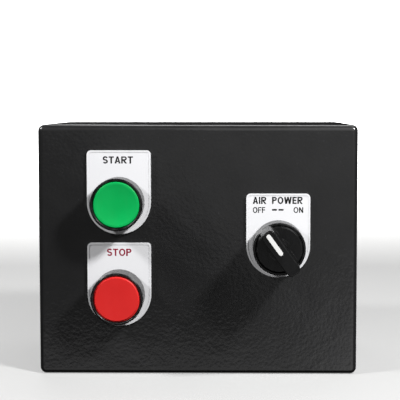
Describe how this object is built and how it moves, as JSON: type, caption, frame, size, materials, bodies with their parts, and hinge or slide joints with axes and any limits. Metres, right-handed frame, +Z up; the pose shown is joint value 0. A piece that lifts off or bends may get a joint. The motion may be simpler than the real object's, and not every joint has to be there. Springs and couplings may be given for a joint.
{
  "type": "magnetic motor starter",
  "caption": "Boxed motor starter with start and stop push-buttons, an air selector knob, and a contactor with an overload relay on a rail inside.",
  "frame": {"origin": "on the surface that the box stands on, under the middle of the whole part", "axes": "+X to the right seen from the front, +Y from the front to the wall behind, +Z up"},
  "size_m": [0.1832, 0.1226, 0.14],
  "materials": {
    "black_powder_coat": "gloss powder coat with a fine orange-peel texture",
    "zinc_steel": "bright zinc plate",
    "spring_steel": "drawn steel wire",
    "magnet_steel": "ground laminations",
    "rubber": "matt",
    "legend_white": "satin white with printed lettering",
    "black_plastic": "gloss",
    "green_plastic": "satin",
    "red_plastic": "satin",
    "white_plastic": "gloss",
    "dark_grey_plastic": "fine matt",
    "light_grey_plastic": "fine matt",
    "blue_plastic": "fine matt",
    "copper": "enamelled or bare copper",
    "contact_brass": "bright",
    "wire_insulation": "soft vinyl"
  },
  "bodies": {
    "enclosure": {"front_hood": "black_powder_coat", "back_plate": "black_powder_coat", "hood_screws": "zinc_steel", "clip_nuts": "zinc_steel", "cable_grommets": "rubber", "din_rail": "zinc_steel", "din_rail_screws": "zinc_steel", "earth_stud": "zinc_steel", "earth_nut": "zinc_steel", "start_legend_plate": "legend_white", "stop_legend_plate": "legend_white", "selector_legend_plate": "legend_white", "start_bezel": "black_plastic", "stop_bezel": "black_plastic", "selector_bezel": "black_plastic", "start_contact_block": "dark_grey_plastic", "stop_contact_block": "dark_grey_plastic", "selector_contact_block": "dark_grey_plastic", "start_block_spring": "spring_steel", "stop_block_spring": "spring_steel", "selector_block_spring": "spring_steel", "start_return_spring": "spring_steel", "stop_return_spring": "spring_steel", "panel_gaskets": "rubber", "lock_nuts": "black_plastic", "block_collars": "dark_grey_plastic", "block_covers": "light_grey_plastic", "block_contact_strips": "contact_brass", "contactor_base": "light_grey_plastic", "contactor_cover": "dark_grey_plastic", "fixed_core": "magnet_steel", "coil_bobbin": "white_plastic", "coil_winding": "copper", "fixed_contacts": "contact_brass", "armature_spring": "spring_steel", "overload_housing": "light_grey_plastic", "overload_cover": "dark_grey_plastic", "overload_pins": "copper", "overload_heaters": "contact_brass", "overload_terminals": "copper", "terminal_screws": "zinc_steel", "control_wires": "wire_insulation"},
    "start_button": {"start_button": "green_plastic"},
    "stop_button": {"stop_button": "red_plastic"},
    "selector_knob": {"selector_knob": "black_plastic", "knob_pointer": "white_plastic"},
    "cam_follower": {"cam_follower": "white_plastic"},
    "start_block_plunger": {"start_block_plunger": "white_plastic", "start_block_bridge": "contact_brass"},
    "stop_block_plunger": {"stop_block_plunger": "white_plastic", "stop_block_bridge": "contact_brass"},
    "selector_block_plunger": {"selector_block_plunger": "white_plastic", "selector_block_bridge": "contact_brass"},
    "armature": {"armature": "magnet_steel", "contact_carrier": "dark_grey_plastic", "moving_contacts": "contact_brass"},
    "din_latch": {"din_latch": "zinc_steel"},
    "current_dial": {"current_dial": "white_plastic"},
    "reset_button": {"reset_button": "blue_plastic"},
    "test_button": {"test_button": "red_plastic"}
  },
  "joints": [
    {"name": "start_press", "type": "slide", "parent": "enclosure", "child": "start_button", "axis": [0, 1, 0], "range_m": [0, 0.004], "stiffness_N_per_m": 350, "springref_m": -0.006, "deforming": ["start_return_spring"]},
    {"name": "stop_press", "type": "slide", "parent": "enclosure", "child": "stop_button", "axis": [0, 1, 0], "range_m": [0, 0.004], "stiffness_N_per_m": 350, "springref_m": -0.006, "deforming": ["stop_return_spring"]},
    {"name": "selector_turn", "type": "hinge", "parent": "enclosure", "child": "selector_knob", "pos_m": [0.0447, -0.03125, 0.0729], "axis": [0, 1, 0], "range_deg": [0, 72]},
    {"name": "start_block_push", "type": "slide", "parent": "enclosure", "child": "start_block_plunger", "axis": [0, 1, 0], "range_m": [0, 0.004], "deforming": ["start_block_spring"]},
    {"name": "stop_block_push", "type": "slide", "parent": "enclosure", "child": "stop_block_plunger", "axis": [0, 1, 0], "range_m": [0, 0.004], "deforming": ["stop_block_spring"]},
    {"name": "cam_follower_push", "type": "slide", "parent": "enclosure", "child": "cam_follower", "axis": [0, 1, 0], "range_m": [0, 0.004]},
    {"name": "selector_block_push", "type": "slide", "parent": "enclosure", "child": "selector_block_plunger", "axis": [0, 1, 0], "range_m": [0, 0.004], "deforming": ["selector_block_spring"]},
    {"name": "armature_pull", "type": "slide", "parent": "enclosure", "child": "armature", "axis": [0, 1, 0], "range_m": [0, 0.0044], "stiffness_N_per_m": 500, "springref_m": -0.006, "deforming": ["armature_spring"]},
    {"name": "din_latch_pull", "type": "slide", "parent": "enclosure", "child": "din_latch", "axis": [0, 0, -1], "range_m": [0, 0.003], "stiffness_N_per_m": 800, "springref_m": -0.003},
    {"name": "dial_turn", "type": "hinge", "parent": "enclosure", "child": "current_dial", "pos_m": [-0.012, 0.00075, 0.052], "axis": [0, 1, 0], "range_deg": [-120, 120]},
    {"name": "reset_press", "type": "slide", "parent": "enclosure", "child": "reset_button", "axis": [0, 1, 0], "range_m": [0, 0.0025], "stiffness_N_per_m": 200, "springref_m": -0.004},
    {"name": "test_press", "type": "slide", "parent": "enclosure", "child": "test_button", "axis": [0, 1, 0], "range_m": [0, 0.0025], "stiffness_N_per_m": 200, "springref_m": -0.004}
  ],
  "couplings": [
    {"joint": "start_block_push", "follows": "start_press", "ratio": 1},
    {"joint": "stop_block_push", "follows": "stop_press", "ratio": 1},
    {"joint": "cam_follower_push", "follows": "selector_turn", "m_per_rad": 0.003183},
    {"joint": "selector_block_push", "follows": "selector_turn", "m_per_rad": 0.003183}
  ]
}
